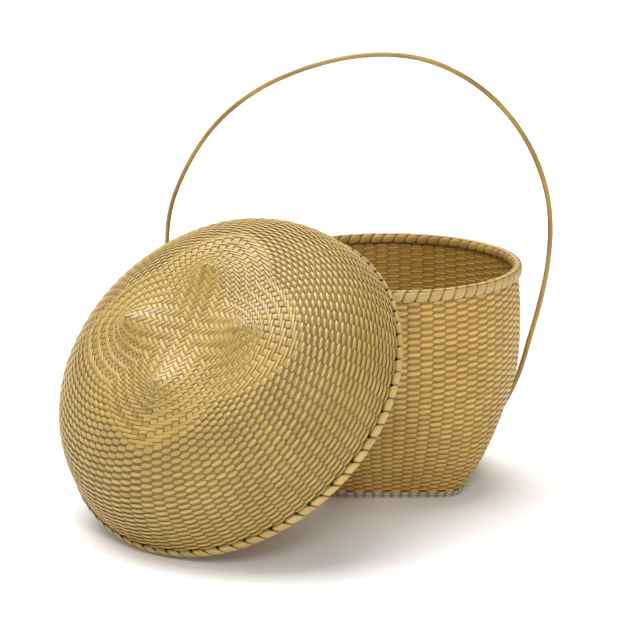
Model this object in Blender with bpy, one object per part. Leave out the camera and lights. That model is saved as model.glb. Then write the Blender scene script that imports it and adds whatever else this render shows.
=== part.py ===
"""A lidded market basket of flat woven splint with a tall cane bow handle, metres, +Z up.

The basket stands on a square base and opens to a round rim. Its lid is a wide dome with a square
crown and four raised corner peaks. It is off the basket, as it was set down: its rim is on the
ground, and it leans on the basket's rim and on the left leg of the handle. The origin is the centre
of the base's underside. +X is to the right seen from the front, and +Y is away to the back.
"""

import math

import bmesh
import bpy
import numpy as np

# Fit between touching pieces
CLEARANCE = 0.0003

# Woven body
BASE_HALF_WIDTH = 0.0755
BASE_THICKNESS = 0.0024
BASE_EDGE_HEIGHT = 0.0070
BELLY_HALF_WIDTH = 0.1375
RIM_WALL_RADIUS = 0.1350
BASKET_HEIGHT = 0.2394
SPLINT_THICKNESS = 0.0022
ROUND_FROM_HEIGHT = 0.150
STAKES = 64
SQUARENESS_AT_BASE = 7.5
SQUARENESS_FADE = 2.6
# Height share of the whole basket's height, swell share of the way from base to belly
WALL_SWELL_SHARES = (
    (0.00, 0.000),
    (0.05, 0.106),
    (0.10, 0.221),
    (0.16, 0.361),
    (0.25, 0.551),
    (0.34, 0.715),
    (0.43, 0.852),
    (0.52, 0.960),
    (0.62, 0.997),
    (0.75, 1.000),
    (0.85, 0.990),
)
WALL_LEVELS = 10

# Rim of the basket
RIM_HOOP_THICKNESS = 0.0021
RIM_HOOP_HEIGHT = 0.0100
RIM_LASHING_THICKNESS = 0.0010
RIM_LASHING_HEIGHT = 0.0140
RIM_LASHING_INNER_HEIGHT = 0.0115
RIM_BEVEL = 0.0011
RIM_WRAPS = 64
# Depth of the groove between two wraps, as a share of the lashing's thickness
WRAP_GROOVE_SHARE = 0.5

# Handle
HANDLE_RADIUS_RIGHT = 0.0029
HANDLE_RADIUS_LEFT = 0.0021
HANDLE_SETBACK = 0.0100
HANDLE_TOP = 0.4561
RIGHT_REACH = 0.0312
LEFT_REACH = 0.1000
LEG_TOUCH_HEIGHT = 0.0675
LEG_FOOT_HEIGHT = 0.0240
LEG_STEPS = 5
HANDLE_SIDES = 8
HANDLE_STEPS = 72
# Share of the leg's reach away from the wall, height share from leg touch to top
RIGHT_LEG_SHARES = (
    (0.060, 0.041),
    (0.120, 0.092),
    (0.310, 0.220),
    (0.640, 0.323),
    (0.936, 0.424),
    (0.994, 0.525),
)
LEFT_LEG_SHARES = (
    (0.014, 0.057),
    (0.104, 0.135),
    (0.378, 0.213),
    (0.721, 0.293),
    (0.945, 0.385),
    (1.000, 0.491),
)
# Across share of the bow's half width from its own middle, height share from leg touch to top
BOW_SHARES = (
    (0.988, 0.592),
    (0.958, 0.658),
    (0.876, 0.757),
    (0.815, 0.807),
    (0.647, 0.901),
    (0.481, 0.957),
    (0.316, 0.989),
    (0.152, 1.000),
    (-0.012, 0.996),
    (-0.176, 0.979),
    (-0.340, 0.951),
    (-0.505, 0.910),
    (-0.654, 0.855),
    (-0.775, 0.790),
    (-0.861, 0.724),
    (-0.926, 0.658),
    (-0.973, 0.592),
)
TIE_WIDTH = 0.0050
TIE_THICKNESS = 0.0009
TIE_UPPER_HEIGHT = 0.0580
TIE_LOWER_HEIGHT = 0.0340
TIE_ARC_STEPS = 7

# Lid
LID_WALL_RADIUS = 0.1857
LID_DEPTH = 0.1070
LID_THICKNESS = 0.0022
LID_STAKES = 80
LID_HOOP_THICKNESS = 0.0017
LID_HOOP_HEIGHT = 0.0080
LID_LASHING_THICKNESS = 0.0009
LID_LASHING_HEIGHT = 0.0110
LID_BEVEL = 0.0010
LID_WRAPS = 80
CROWN_SHIFT_X = 0.0045
CROWN_SHIFT_Y = 0.0052
CROWN_PEAK_REACH = 0.0670
CROWN_PEAK_RISE = 0.0150
CROWN_PEAK_SPREAD = 0.0190
CROWN_PEAK_POWER = 1.25
CROWN_PEAKS = 4
CROWN_TWIST = math.radians(4.8)
CROWN_EDGE_SHARE = 0.60
CROWN_RINGS = 8
CROWN_SPOKES = 64
SIDE_LEVELS = 6
# Radius share of the wall radius, height share of the depth, from the rim up to the crown
DOME_SHARES = (
    (1.000, 0.060),
    (0.988, 0.180),
    (0.960, 0.352),
    (0.900, 0.544),
    (0.800, 0.715),
    (0.700, 0.843),
    (0.600, 0.925),
    (0.500, 0.966),
    (0.300, 0.991),
    (0.150, 0.998),
    (0.000, 1.000),
)

# How the lid leans
LID_TILT = math.radians(46.6)
LID_TURN = math.radians(-37.0)
LID_SIDE_SHIFT = -0.0412
LID_LEAN_CLEARANCE = 0.0001

# Colours and roughness of the dry splint and cane
WALL_TAN = (0.46, 0.30, 0.12, 1.0)
LASHING_TAN = (0.56, 0.40, 0.20, 1.0)
HOOP_TAN = (0.42, 0.28, 0.12, 1.0)
CANE_BROWN = (0.33, 0.17, 0.045, 1.0)
LID_STRAW = (0.54, 0.41, 0.20, 1.0)
SPLINT_ROUGHNESS = 0.45
CANE_ROUGHNESS = 0.32

# How finely curves are read and the lean is searched
SHARP_ANGLE = math.radians(40)
CURVE_SAMPLES = 12
DOME_SAMPLES = 400
LEAN_SEARCH_STEPS = 28
LEAN_SAMPLES_ACROSS = 3
LEAN_SAMPLES_PER_WRAP = 6


def clear_scene():
    for item in list(bpy.data.objects):
        bpy.data.objects.remove(item, do_unlink=True)


def finish_of(name, colour, roughness):
    """A plain Principled material for one kind of splint or cane."""
    material = bpy.data.materials.new(name)
    material.use_nodes = True
    shader = material.node_tree.nodes["Principled BSDF"]
    shader.inputs["Base Color"].default_value = colour
    shader.inputs["Roughness"].default_value = roughness
    shader.inputs["Metallic"].default_value = 0.0
    return material


def solid_object(name, points, faces, material, parent=None):
    """One closed mesh object, its faces turned outward and shaded smooth where it is round."""
    mesh = bpy.data.meshes.new(name)
    mesh.from_pydata([tuple(point) for point in points], [], faces)
    work = bmesh.new()
    work.from_mesh(mesh)
    bmesh.ops.recalc_face_normals(work, faces=work.faces)
    work.to_mesh(mesh)
    work.free()
    mesh.shade_smooth()
    mesh.set_sharp_from_angle(angle=SHARP_ANGLE)
    mesh.materials.append(material)
    item = bpy.data.objects.new(name, mesh)
    item.parent = parent
    bpy.context.scene.collection.objects.link(item)
    return item


def smooth_value(x, knots):
    """The value at x of a smooth curve through (x, value) knots, with central slopes."""
    xs, ys = np.array(knots).T
    slopes = np.gradient(ys, xs)
    x = np.clip(x, xs[0], xs[-1])
    span = np.clip(np.searchsorted(xs, x, side="right") - 1, 0, len(xs) - 2)
    width = xs[span + 1] - xs[span]
    t = (x - xs[span]) / width
    rise = ys[span] * (2 * t**3 - 3 * t**2 + 1) + ys[span + 1] * (3 * t**2 - 2 * t**3)
    lean = slopes[span] * (t**3 - 2 * t**2 + t) + slopes[span + 1] * (t**3 - t**2)
    return rise + width * lean


def curve_through(points, count):
    """Evenly spaced points on a smooth curve through the given ones, read by chord length."""
    points = np.array(points, float)
    along = np.concatenate([[0.0], np.cumsum(np.linalg.norm(np.diff(points, axis=0), axis=1))])
    fine = np.linspace(0.0, along[-1], CURVE_SAMPLES * count)
    axes = [smooth_value(fine, np.column_stack([along, axis])) for axis in points.T]
    path = np.stack(axes, axis=1)
    run = np.concatenate([[0.0], np.cumsum(np.linalg.norm(np.diff(path, axis=0), axis=1))])
    even = np.linspace(0.0, run[-1], count)
    return np.stack([np.interp(even, run, axis) for axis in path.T], axis=1)


def quad(row, after, place, beyond, width):
    """The face between two rows of points and two places along them."""
    return (row * width + place, after * width + place, after * width + beyond, row * width + beyond)


def looped_solid(sections):
    """A ring whose closed sections follow one another round and meet where they began."""
    around, outline = sections.shape[:2]
    faces = [
        quad(i, (i + 1) % around, j, (j + 1) % outline, outline)
        for i in range(around)
        for j in range(outline)
    ]
    return sections.reshape(-1, 3), faces


def capped_solid(sections):
    """A bar whose closed sections follow one another, with a flat face at each end."""
    count, outline = sections.shape[:2]
    faces = [
        quad(i, i + 1, j, (j + 1) % outline, outline)
        for i in range(count - 1)
        for j in range(outline)
    ]
    last = (count - 1) * outline
    faces.append(tuple(range(outline)))
    faces.append(tuple(last + j for j in reversed(range(outline))))
    return sections.reshape(-1, 3), faces


def domed_solid(outside, inside, segments):
    """A shell turned about Z and closed over the middle, where both its (r, z) outlines end."""
    rings = turned(np.vstack([outside[:-1], inside[-2::-1]]), segments).transpose(1, 0, 2)
    poles = [[0.0, 0.0, outside[-1][1]], [0.0, 0.0, inside[-1][1]]]
    points = np.vstack([rings.reshape(-1, 3), poles])
    count = len(rings)
    top_ring = len(outside) - 2
    top_pole = count * segments
    faces = []
    for j in range(segments):
        k = (j + 1) % segments
        for ring in range(count):
            if ring != top_ring:
                faces.append(quad(ring, (ring + 1) % count, j, k, segments))
        faces.append((top_ring * segments + j, top_ring * segments + k, top_pole))
        faces.append(((top_ring + 1) * segments + k, (top_ring + 1) * segments + j, top_pole + 1))
    return points, faces


def turned(outline, segments):
    """The sections of an (r, z) outline turned about Z."""
    angle = np.arange(segments)[:, None] * math.tau / segments
    radius, height = np.array(outline).T
    level = np.broadcast_to(height, (segments, len(height)))
    return np.stack([radius * np.cos(angle), radius * np.sin(angle), level], axis=-1)


def squareness(height):
    """The section's power at a height: 2 is round, and more is squarer."""
    share = np.clip(1 - np.asarray(height) / ROUND_FROM_HEIGHT, 0.0, 1.0)
    return 2 + (SQUARENESS_AT_BASE - 2) * share**SQUARENESS_FADE


def wall_half_width(height):
    """Half the width of the body's outside, across its flats, at a height."""
    swell = BELLY_HALF_WIDTH - BASE_HALF_WIDTH
    knots = [(z * BASKET_HEIGHT, BASE_HALF_WIDTH + s * swell) for z, s in WALL_SWELL_SHARES]
    knots.append((rim_foot(), RIM_WALL_RADIUS))
    return smooth_value(np.asarray(height, float), knots)


def rim_foot():
    """Height of the lower edge of the rim's lashing."""
    return BASKET_HEIGHT - RIM_LASHING_HEIGHT


def body_section(height, inward, segments=STAKES):
    """Points round the body at a height, set in from its outside."""
    angle = np.arange(segments) * math.tau / segments
    power = squareness(height)
    reach = (np.abs(np.cos(angle)) ** power + np.abs(np.sin(angle)) ** power) ** (-1 / power)
    radius = (wall_half_width(height) - inward) * reach
    return np.stack([radius * np.cos(angle), radius * np.sin(angle), np.full(segments, height)], axis=1)


def body_band(heights):
    """The sections of a woven band of the body, its outside up and its inside down again."""
    outside = [body_section(height, 0.0) for height in heights]
    inside = [body_section(height, SPLINT_THICKNESS) for height in heights[::-1]]
    return np.stack(outside + inside, axis=1)


def make_base(splint):
    outline = body_section(0.0, SPLINT_THICKNESS + CLEARANCE)
    top = outline + np.array([0.0, 0.0, BASE_THICKNESS])
    points, faces = capped_solid(np.stack([outline, top]))
    solid_object("base_panel", points, faces, splint)
    points, faces = looped_solid(body_band(np.array([0.0, BASE_EDGE_HEIGHT])))
    solid_object("base_edge_twining", points, faces, splint)


def make_wall(splint):
    heights = np.linspace(BASE_EDGE_HEIGHT + CLEARANCE, rim_foot(), WALL_LEVELS)
    top = BASKET_HEIGHT - RIM_LASHING_THICKNESS - CLEARANCE
    points, faces = looped_solid(body_band(np.append(heights, top)))
    solid_object("basket_wall", points, faces, splint)


def hoop_outline(start, thickness, low, height):
    """A flat splint on edge, seen in (r, z)."""
    end = start + thickness
    return [(start, low), (end, low), (end, low + height), (start, low + height)]


def channel_outline(inner, outer, low, inner_low, high, thickness, bevel, groove):
    """An upside-down U over both hoops, its bevelled outside drawn in by a groove."""
    cut = bevel - (2 - math.sqrt(2)) * groove
    points = [(outer - thickness, low), (outer - groove, low)]
    points += [(outer - groove, high - groove - cut), (outer - groove - cut, high - groove)]
    points += [(inner + groove + cut, high - groove), (inner + groove, high - groove - cut)]
    points += [(inner + groove, inner_low), (inner + thickness, inner_low)]
    points += [(inner + thickness, high - thickness), (outer - thickness, high - thickness)]
    return points


def wrapped_ring(full, drawn_in, wraps):
    """The lashing: every second section is the groove between two flat wraps."""
    sections = turned(full, 2 * wraps)
    sections[1::2] = turned(drawn_in, 2 * wraps)[1::2]
    return sections


def make_hoops(names, wall_outside, wall_thickness, thickness, low, height, segments, hoop, parent=None):
    """The splint hoops that clamp a woven edge, one on each of its sides."""
    outer = wall_outside + CLEARANCE
    inner = wall_outside - wall_thickness - CLEARANCE - thickness
    for name, start in zip(names, (outer, inner)):
        points, faces = looped_solid(turned(hoop_outline(start, thickness, low, height), segments))
        solid_object(name, points, faces, hoop, parent)


def basket_rim_radius():
    """Outside radius of the rim over its lashing."""
    return RIM_WALL_RADIUS + RIM_HOOP_THICKNESS + RIM_LASHING_THICKNESS + 2 * CLEARANCE


def rim_inner_radius():
    """Inside radius of the basket's rim within its lashing."""
    inner = RIM_WALL_RADIUS - SPLINT_THICKNESS - RIM_HOOP_THICKNESS
    return inner - 2 * CLEARANCE - RIM_LASHING_THICKNESS


def make_rim(hoop, lashing):
    """Two split hoops clamp the top of the wall, and a lashing of flat splint covers them."""
    make_hoops(
        ("rim_outer_hoop", "rim_inner_hoop"),
        RIM_WALL_RADIUS,
        SPLINT_THICKNESS,
        RIM_HOOP_THICKNESS,
        BASKET_HEIGHT - RIM_LASHING_THICKNESS - CLEARANCE - RIM_HOOP_HEIGHT,
        RIM_HOOP_HEIGHT,
        STAKES,
        hoop,
    )
    outlines = [
        channel_outline(
            rim_inner_radius(),
            basket_rim_radius(),
            rim_foot(),
            BASKET_HEIGHT - RIM_LASHING_INNER_HEIGHT,
            BASKET_HEIGHT,
            RIM_LASHING_THICKNESS,
            RIM_BEVEL,
            groove * RIM_LASHING_THICKNESS,
        )
        for groove in (0.0, WRAP_GROOVE_SHARE)
    ]
    points, faces = looped_solid(wrapped_ring(*outlines, RIM_WRAPS))
    solid_object("rim_lashing", points, faces, lashing)


def leg_point(height, radius, side):
    """Centre of a leg that lies on the outside of the wall at a height."""
    step = CLEARANCE
    power = squareness(height)
    width = (wall_half_width(height) ** power - HANDLE_SETBACK**power) ** (1 / power)
    slope = (wall_half_width(height + step) - wall_half_width(height - step)) / (2 * step)
    off = (radius + CLEARANCE) * math.sqrt(1 + slope**2)
    return side * (width + off), float(height)


def leg_curve(radius, side, reach, shares):
    """A leg from its foot up: it lies on the wall, leaves it, and ends at its full reach."""
    rise = HANDLE_TOP - LEG_TOUCH_HEIGHT
    heights = np.linspace(LEG_FOOT_HEIGHT, LEG_TOUCH_HEIGHT, LEG_STEPS)
    points = [leg_point(height, radius, side) for height in heights]
    for out, up in shares:
        height = LEG_TOUCH_HEIGHT + up * rise
        against = leg_point(min(height, rim_foot()), radius, side)[0]
        points.append((against + side * out * reach, height))
    return points


def handle_path():
    """The cane's centre line in its own upright plane, from the right foot to the left one."""
    right = leg_curve(HANDLE_RADIUS_RIGHT, 1, RIGHT_REACH, RIGHT_LEG_SHARES)
    left = leg_curve(HANDLE_RADIUS_LEFT, -1, LEFT_REACH, LEFT_LEG_SHARES)
    right_end = leg_point(rim_foot(), HANDLE_RADIUS_RIGHT, 1)[0] + RIGHT_REACH
    left_end = leg_point(rim_foot(), HANDLE_RADIUS_LEFT, -1)[0] - LEFT_REACH
    middle = (right_end + left_end) / 2
    half = (right_end - left_end) / 2
    rise = HANDLE_TOP - LEG_TOUCH_HEIGHT
    bow = [(middle + x * half, LEG_TOUCH_HEIGHT + z * rise) for x, z in BOW_SHARES]
    flat = curve_through(right + bow + left[::-1], HANDLE_STEPS)
    return np.stack([flat[:, 0], np.full(len(flat), HANDLE_SETBACK), flat[:, 1]], axis=1)


def handle_radii(count):
    return np.linspace(HANDLE_RADIUS_RIGHT, HANDLE_RADIUS_LEFT, count)


def make_handle(cane):
    """One bent cane, thicker at its right foot, whose legs lie on the outside of the wall."""
    path = handle_path()
    radii = handle_radii(len(path))
    along = np.gradient(path, axis=0)
    along /= np.linalg.norm(along, axis=1)[:, None]
    back = np.array([0.0, 1.0, 0.0])
    across = np.cross(along, back)
    angle = np.arange(HANDLE_SIDES) * math.tau / HANDLE_SIDES
    ring = np.cos(angle)[None, :, None] * across[:, None, :] + np.sin(angle)[None, :, None] * back
    points, faces = capped_solid(path[:, None, :] + radii[:, None, None] * ring)
    solid_object("handle_bow", points, faces, cane)


def make_ties(lashing):
    """A staple of wrapped splint holds each leg to the wall at two heights."""
    places = (
        ("handle_tie_right_upper", TIE_UPPER_HEIGHT, 1, HANDLE_RADIUS_RIGHT),
        ("handle_tie_right_lower", TIE_LOWER_HEIGHT, 1, HANDLE_RADIUS_RIGHT),
        ("handle_tie_left_upper", TIE_UPPER_HEIGHT, -1, HANDLE_RADIUS_LEFT),
        ("handle_tie_left_lower", TIE_LOWER_HEIGHT, -1, HANDLE_RADIUS_LEFT),
    )
    for name, height, side, radius in places:
        low = np.array(leg_point(height - TIE_WIDTH / 2, radius, side))
        high = np.array(leg_point(height + TIE_WIDTH / 2, radius, side))
        along = (high - low) / np.linalg.norm(high - low)
        outward = np.array([side * along[1], -side * along[0]])
        middle = (low + high) / 2
        reach = radius + 2 * CLEARANCE + TIE_THICKNESS / 2
        drop = radius - CLEARANCE
        angles = np.linspace(-math.pi / 2, math.pi / 2, TIE_ARC_STEPS)
        route = [(-drop, -1.0)] + [(reach * math.cos(a), math.sin(a)) for a in angles] + [(-drop, 1.0)]
        normals = [(0.0, -1.0)] + [(math.cos(a), math.sin(a)) for a in angles] + [(0.0, 1.0)]
        sections = []
        for (out, beside), (n_out, n_beside) in zip(route, normals):
            section = []
            for skin, run in ((-1, -1), (1, -1), (1, 1), (-1, 1)):
                o = out + skin * n_out * TIE_THICKNESS / 2
                b = beside * reach + skin * n_beside * TIE_THICKNESS / 2
                flat = middle + outward * o + along * run * TIE_WIDTH / 2
                section.append((flat[0], HANDLE_SETBACK + b, flat[1]))
            sections.append(section)
        points, faces = capped_solid(np.array(sections))
        solid_object(name, points, faces, lashing)


def dome_outline(count):
    """(r, z) points of the lid's outside from the rim up to the crown's middle."""
    points = [(r * LID_WALL_RADIUS, z * LID_DEPTH) for r, z in DOME_SHARES]
    return curve_through(points, count)


def dome_pair(first, last, count):
    """Outside and inside (r, z) points of the dome between two radius shares."""
    fine = dome_outline(DOME_SAMPLES)
    slope = np.gradient(fine, axis=0)
    normal = np.stack([slope[:, 1], -slope[:, 0]], axis=1)
    normal /= np.linalg.norm(normal, axis=1)[:, None]
    shares = fine[:, 0] / LID_WALL_RADIUS
    run = np.linspace(0, 1, len(fine))
    start = np.interp(-first, -shares, run)
    end = np.interp(-last, -shares, run)
    at = np.linspace(start, end, count)
    outside = np.stack([np.interp(at, run, fine[:, k]) for k in (0, 1)], axis=1)
    inward = np.stack([np.interp(at, run, normal[:, k]) for k in (0, 1)], axis=1)
    inside = outside - LID_THICKNESS * inward
    inside[:, 0] = np.maximum(inside[:, 0], 0.0)
    return outside, inside


def peak_rise(points):
    """How far the four corners of the crown are drawn up over the dome at (x, y) points.

    The crown was begun a little off the lid's middle, so its corners are shifted with it.
    """
    middle = np.array([CROWN_SHIFT_X, CROWN_SHIFT_Y])
    rise = np.zeros(len(points))
    for corner in range(CROWN_PEAKS):
        angle = CROWN_TWIST + corner * math.tau / CROWN_PEAKS
        centre = middle + CROWN_PEAK_REACH * np.array([math.cos(angle), math.sin(angle)])
        gap = np.linalg.norm(points[:, :2] - centre, axis=1) / CROWN_PEAK_SPREAD
        rise += CROWN_PEAK_RISE * np.exp(-(gap**CROWN_PEAK_POWER))
    return rise


def make_crown(splint, frame):
    """The square twilled middle of the lid, with its four corners drawn up into peaks."""
    outside, inside = dome_pair(CROWN_EDGE_SHARE, 0.0, CROWN_RINGS)
    points, faces = domed_solid(outside, inside, CROWN_SPOKES)
    points[:, 2] += peak_rise(points)
    solid_object("lid_crown", points, faces, splint, frame)


def make_lid_side(splint, frame):
    """The plain-woven side of the lid, from the crown down to the foot inside the rim's hoops."""
    first = DOME_SHARES[0][0]
    gap_share = CROWN_EDGE_SHARE + CLEARANCE / LID_WALL_RADIUS
    outside, inside = dome_pair(first, gap_share, SIDE_LEVELS)
    foot = lid_low() + LID_LASHING_THICKNESS + CLEARANCE
    outside = np.vstack([[LID_WALL_RADIUS, foot], outside])
    inside = np.vstack([[LID_WALL_RADIUS - LID_THICKNESS, foot], inside])
    points, faces = looped_solid(turned(np.vstack([outside, inside[::-1]]), LID_STAKES))
    points[:, 2] += peak_rise(points)
    solid_object("lid_side", points, faces, splint, frame)


def lid_low():
    """Lower edge of the lid's rim, measured from the middle of the rim."""
    return -LID_LASHING_HEIGHT / 2


def lid_rim_outline(groove_share):
    """The section of the lid's lashing, as if its channel opened downwards."""
    cover = 2 * CLEARANCE + LID_HOOP_THICKNESS + LID_LASHING_THICKNESS
    return channel_outline(
        LID_WALL_RADIUS - LID_THICKNESS - cover,
        LID_WALL_RADIUS + cover,
        lid_low(),
        lid_low(),
        -lid_low(),
        LID_LASHING_THICKNESS,
        LID_BEVEL,
        groove_share * LID_LASHING_THICKNESS,
    )


def make_lid_rim(hoop, lashing, frame):
    """The lid's rim is made as the basket's is, the other way up: the hoops go in from the dome."""
    make_hoops(
        ("lid_outer_hoop", "lid_inner_hoop"),
        LID_WALL_RADIUS,
        LID_THICKNESS,
        LID_HOOP_THICKNESS,
        lid_low() + LID_LASHING_THICKNESS + CLEARANCE,
        LID_HOOP_HEIGHT,
        LID_STAKES,
        hoop,
        frame,
    )
    sections = wrapped_ring(lid_rim_outline(0.0), lid_rim_outline(WRAP_GROOVE_SHARE), LID_WRAPS)
    sections[..., 2] *= -1
    points, faces = looped_solid(sections)
    solid_object("lid_rim_lashing", points, faces, lashing, frame)


def finer(outline, steps):
    """A closed outline with each of its edges split into equal steps."""
    outline = np.array(outline)
    shares = np.arange(steps)[None, :, None] / steps
    ahead = np.roll(outline, -1, axis=0)
    return (outline[:, None] * (1 - shares) + ahead[:, None] * shares).reshape(-1, 2)


def lean_turn():
    """The turn that takes the lid from level to its lean, as a matrix."""
    ct, st = math.cos(LID_TILT), math.sin(LID_TILT)
    ca, sa = math.cos(LID_TURN), math.sin(LID_TURN)
    tilt = np.array([[1, 0, 0], [0, ct, -st], [0, st, ct]])
    turn = np.array([[ca, -sa, 0], [sa, ca, 0], [0, 0, 1]])
    return turn @ tilt


def gap_to_rim(points):
    """Least distance from points to a bevelled drum as wide and high as the basket, or just under."""
    across = np.hypot(points[:, 0], points[:, 1]) - basket_rim_radius()
    up = points[:, 2] - BASKET_HEIGHT
    corner = (across + up + RIM_BEVEL) / math.sqrt(2)
    return np.maximum(np.maximum(across, up), corner).min()


def gap_to_leg(points, path, radii):
    """Least distance from points to a stretch of the handle, along its centre line and its radii."""
    start = path[:-1]
    run = path[1:] - start
    away = points[:, None] - start
    share = np.clip((away * run).sum(axis=2) / (run**2).sum(axis=1), 0.0, 1.0)
    reach = np.linalg.norm(away - share[..., None] * run, axis=2)
    return (reach - radii[:-1]).min()


def lid_place():
    """Where the leaning lid's rim has its centre.

    The lid's lowest edge is on the ground, and it is slid towards the basket until its rim is
    the lean clearance away from the first thing that it meets.
    """
    across = finer(lid_rim_outline(0.0), LEAN_SAMPLES_ACROSS)
    rim = turned(across, LEAN_SAMPLES_PER_WRAP * LID_WRAPS).reshape(-1, 3) @ lean_turn().T
    leg = slice(HANDLE_STEPS // 2, HANDLE_STEPS)
    path = handle_path()[leg]
    radii = handle_radii(HANDLE_STEPS)[leg]
    away = np.array([math.sin(LID_TURN), -math.cos(LID_TURN), 0.0])
    side = np.array([math.cos(LID_TURN), math.sin(LID_TURN), 0.0])
    on_ground = side * LID_SIDE_SHIFT - np.array([0.0, 0.0, rim[:, 2].min()])
    near = 0.0
    far = basket_rim_radius() + 2 * LID_WALL_RADIUS
    for _ in range(LEAN_SEARCH_STEPS):
        middle = (near + far) / 2
        placed = rim + on_ground + away * middle
        if min(gap_to_rim(placed), gap_to_leg(placed, path, radii)) < LID_LEAN_CLEARANCE:
            near = middle
        else:
            far = middle
    return on_ground + away * far


def make_lid(splint, hoop, lashing):
    frame = bpy.data.objects.new("lid_frame", None)
    bpy.context.scene.collection.objects.link(frame)
    frame.location = lid_place()
    frame.rotation_euler = (LID_TILT, 0.0, LID_TURN)
    make_crown(splint, frame)
    make_lid_side(splint, frame)
    make_lid_rim(hoop, lashing, frame)


def build():
    clear_scene()
    splint = finish_of("wall_splint", WALL_TAN, SPLINT_ROUGHNESS)
    lashing = finish_of("lashing_splint", LASHING_TAN, SPLINT_ROUGHNESS)
    hoop = finish_of("hoop_splint", HOOP_TAN, SPLINT_ROUGHNESS)
    cane = finish_of("handle_cane", CANE_BROWN, CANE_ROUGHNESS)
    straw = finish_of("lid_splint", LID_STRAW, SPLINT_ROUGHNESS)
    make_base(splint)
    make_wall(splint)
    make_rim(hoop, lashing)
    make_handle(cane)
    make_ties(lashing)
    make_lid(straw, hoop, lashing)


build()
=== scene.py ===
import math

import bpy
import numpy as np
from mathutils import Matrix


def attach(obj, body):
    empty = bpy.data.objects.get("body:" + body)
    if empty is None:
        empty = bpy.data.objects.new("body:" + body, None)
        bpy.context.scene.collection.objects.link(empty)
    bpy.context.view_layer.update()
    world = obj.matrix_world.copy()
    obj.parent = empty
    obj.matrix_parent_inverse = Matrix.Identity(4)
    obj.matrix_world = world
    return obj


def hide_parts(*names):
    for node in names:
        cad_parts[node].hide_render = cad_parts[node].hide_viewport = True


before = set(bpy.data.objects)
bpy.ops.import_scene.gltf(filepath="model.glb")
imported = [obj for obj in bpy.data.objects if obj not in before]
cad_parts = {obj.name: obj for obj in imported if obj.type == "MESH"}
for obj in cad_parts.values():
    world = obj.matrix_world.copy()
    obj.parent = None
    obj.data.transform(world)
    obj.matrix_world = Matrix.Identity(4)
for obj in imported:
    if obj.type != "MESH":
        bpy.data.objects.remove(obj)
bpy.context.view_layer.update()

# The photographer stood well back, a little to the left of the basket, and looked down on it with
# a long lens.
CAMERA_PLACE = (-0.075, -2.577, 0.840)
LOOK_DOWN = math.radians(14.42)
LENS = 140.6
SENSOR_WIDTH = 36.0
photo_camera = bpy.data.objects.new("photo_camera", bpy.data.cameras.new("photo_camera"))
photo_camera.location = CAMERA_PLACE
photo_camera.rotation_euler = (math.pi / 2 - LOOK_DOWN, 0.0, 0.0)
photo_camera.data.sensor_width = SENSOR_WIDTH
photo_camera.data.lens = LENS
bpy.context.scene.collection.objects.link(photo_camera)
bpy.context.scene.camera = photo_camera
bpy.context.scene.view_settings.view_transform = "Standard"


# The basket's stakes are flat split-wood strips, 16 each way. They are woven into each other for the
# square base, turned up at its edge, and run on up the wall, where they end between the rim's hoops.
STAKES_A_SIDE = 16
STAKES = 4 * STAKES_A_SIDE
BASE_HALF_WIDTH = 0.0755
BELLY_HALF_WIDTH = 0.1375
RIM_WALL_RADIUS = 0.1350
BASKET_HEIGHT = 0.2394
RIM_FOOT = 0.2254
ROUND_FROM_HEIGHT = 0.150
BASE_POWER = 7.5
ROUND_POWER = 2.0
POWER_FADE = 2.6
SHEET_MIDDLE = 0.0011
STAKE_WIDTH_SHARE = 0.99
STAKE_THICKNESS = 0.0009
STAKE_TOP = 0.2330
BASE_SWAY = 0.00035
# Height share of the basket's height, swell share of the way from base to belly
WALL_SWELL = (
    (0.00, 0.000), (0.05, 0.106), (0.10, 0.221), (0.16, 0.361), (0.25, 0.551), (0.34, 0.715),
    (0.43, 0.852), (0.52, 0.960), (0.62, 0.997), (0.75, 1.000), (0.85, 0.990),
)


def smooth_value(x, knots):
    """The value at x of a smooth curve through (x, value) knots: a cubic between each two, whose
    slope at a knot is the one between its neighbours."""
    xs, ys = np.array(knots, float).T
    slopes = np.gradient(ys, xs)
    x = np.clip(x, xs[0], xs[-1])
    span = np.clip(np.searchsorted(xs, x, side="right") - 1, 0, len(xs) - 2)
    width = xs[span + 1] - xs[span]
    t = (x - xs[span]) / width
    rise = ys[span] * (2 * t**3 - 3 * t**2 + 1) + ys[span + 1] * (3 * t**2 - 2 * t**3)
    lean = slopes[span] * (t**3 - 2 * t**2 + t) + slopes[span + 1] * (t**3 - t**2)
    return rise + width * lean


def wall_half_width(height):
    """Half the width of the wall's outside across its flats: a smooth curve of the height, which swells
    from the base to the belly and draws in to the rim."""
    swell = BELLY_HALF_WIDTH - BASE_HALF_WIDTH
    knots = [(z * BASKET_HEIGHT, BASE_HALF_WIDTH + s * swell) for z, s in WALL_SWELL]
    return smooth_value(height, knots + [(RIM_FOOT, RIM_WALL_RADIUS)])


def wall_squareness(height):
    """1 at the base, where the wall's section is most square, and 0 where it is round. Between them it is
    (1 - height / round height)^2.6."""
    return np.clip(1 - height / ROUND_FROM_HEIGHT, 0.0, 1.0) ** POWER_FADE


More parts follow.
